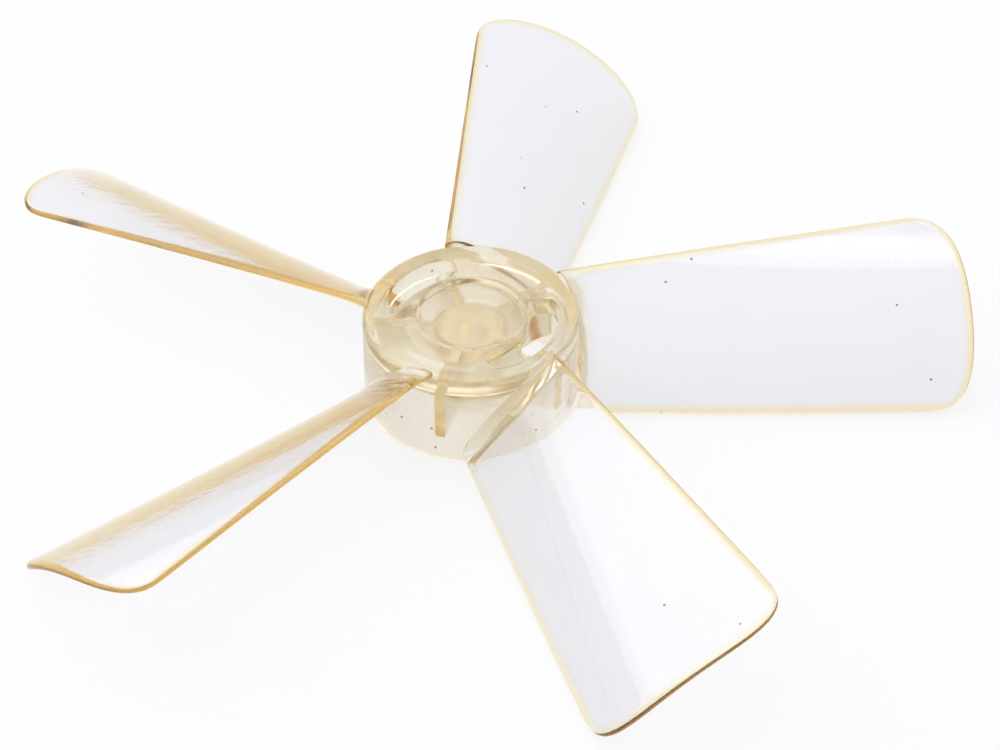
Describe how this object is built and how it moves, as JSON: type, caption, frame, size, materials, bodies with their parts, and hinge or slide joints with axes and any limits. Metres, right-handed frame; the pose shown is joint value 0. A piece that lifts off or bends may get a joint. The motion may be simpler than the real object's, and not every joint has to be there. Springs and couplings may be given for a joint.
{
  "type": "fan impeller",
  "caption": "Small axial fan impeller moulded in one piece: a drum-shaped hub with a blind shaft bore and twisted, cambered blades that widen towards the tip.",
  "frame": {"origin": "on the shaft's axis, at the hub's lower rim and the mouth of the bore", "axes": "+Z along the shaft's axis, from the bore's mouth up to the deck; one blade points near +X"},
  "size_m": [0.1115, 0.1139, 0.0129],
  "materials": {
    "resin": "clear cast resin, yellowed with age, faintly pitted on the blades"
  },
  "bodies": {
    "root": {"impeller": "resin"}
  },
  "joints": []
}
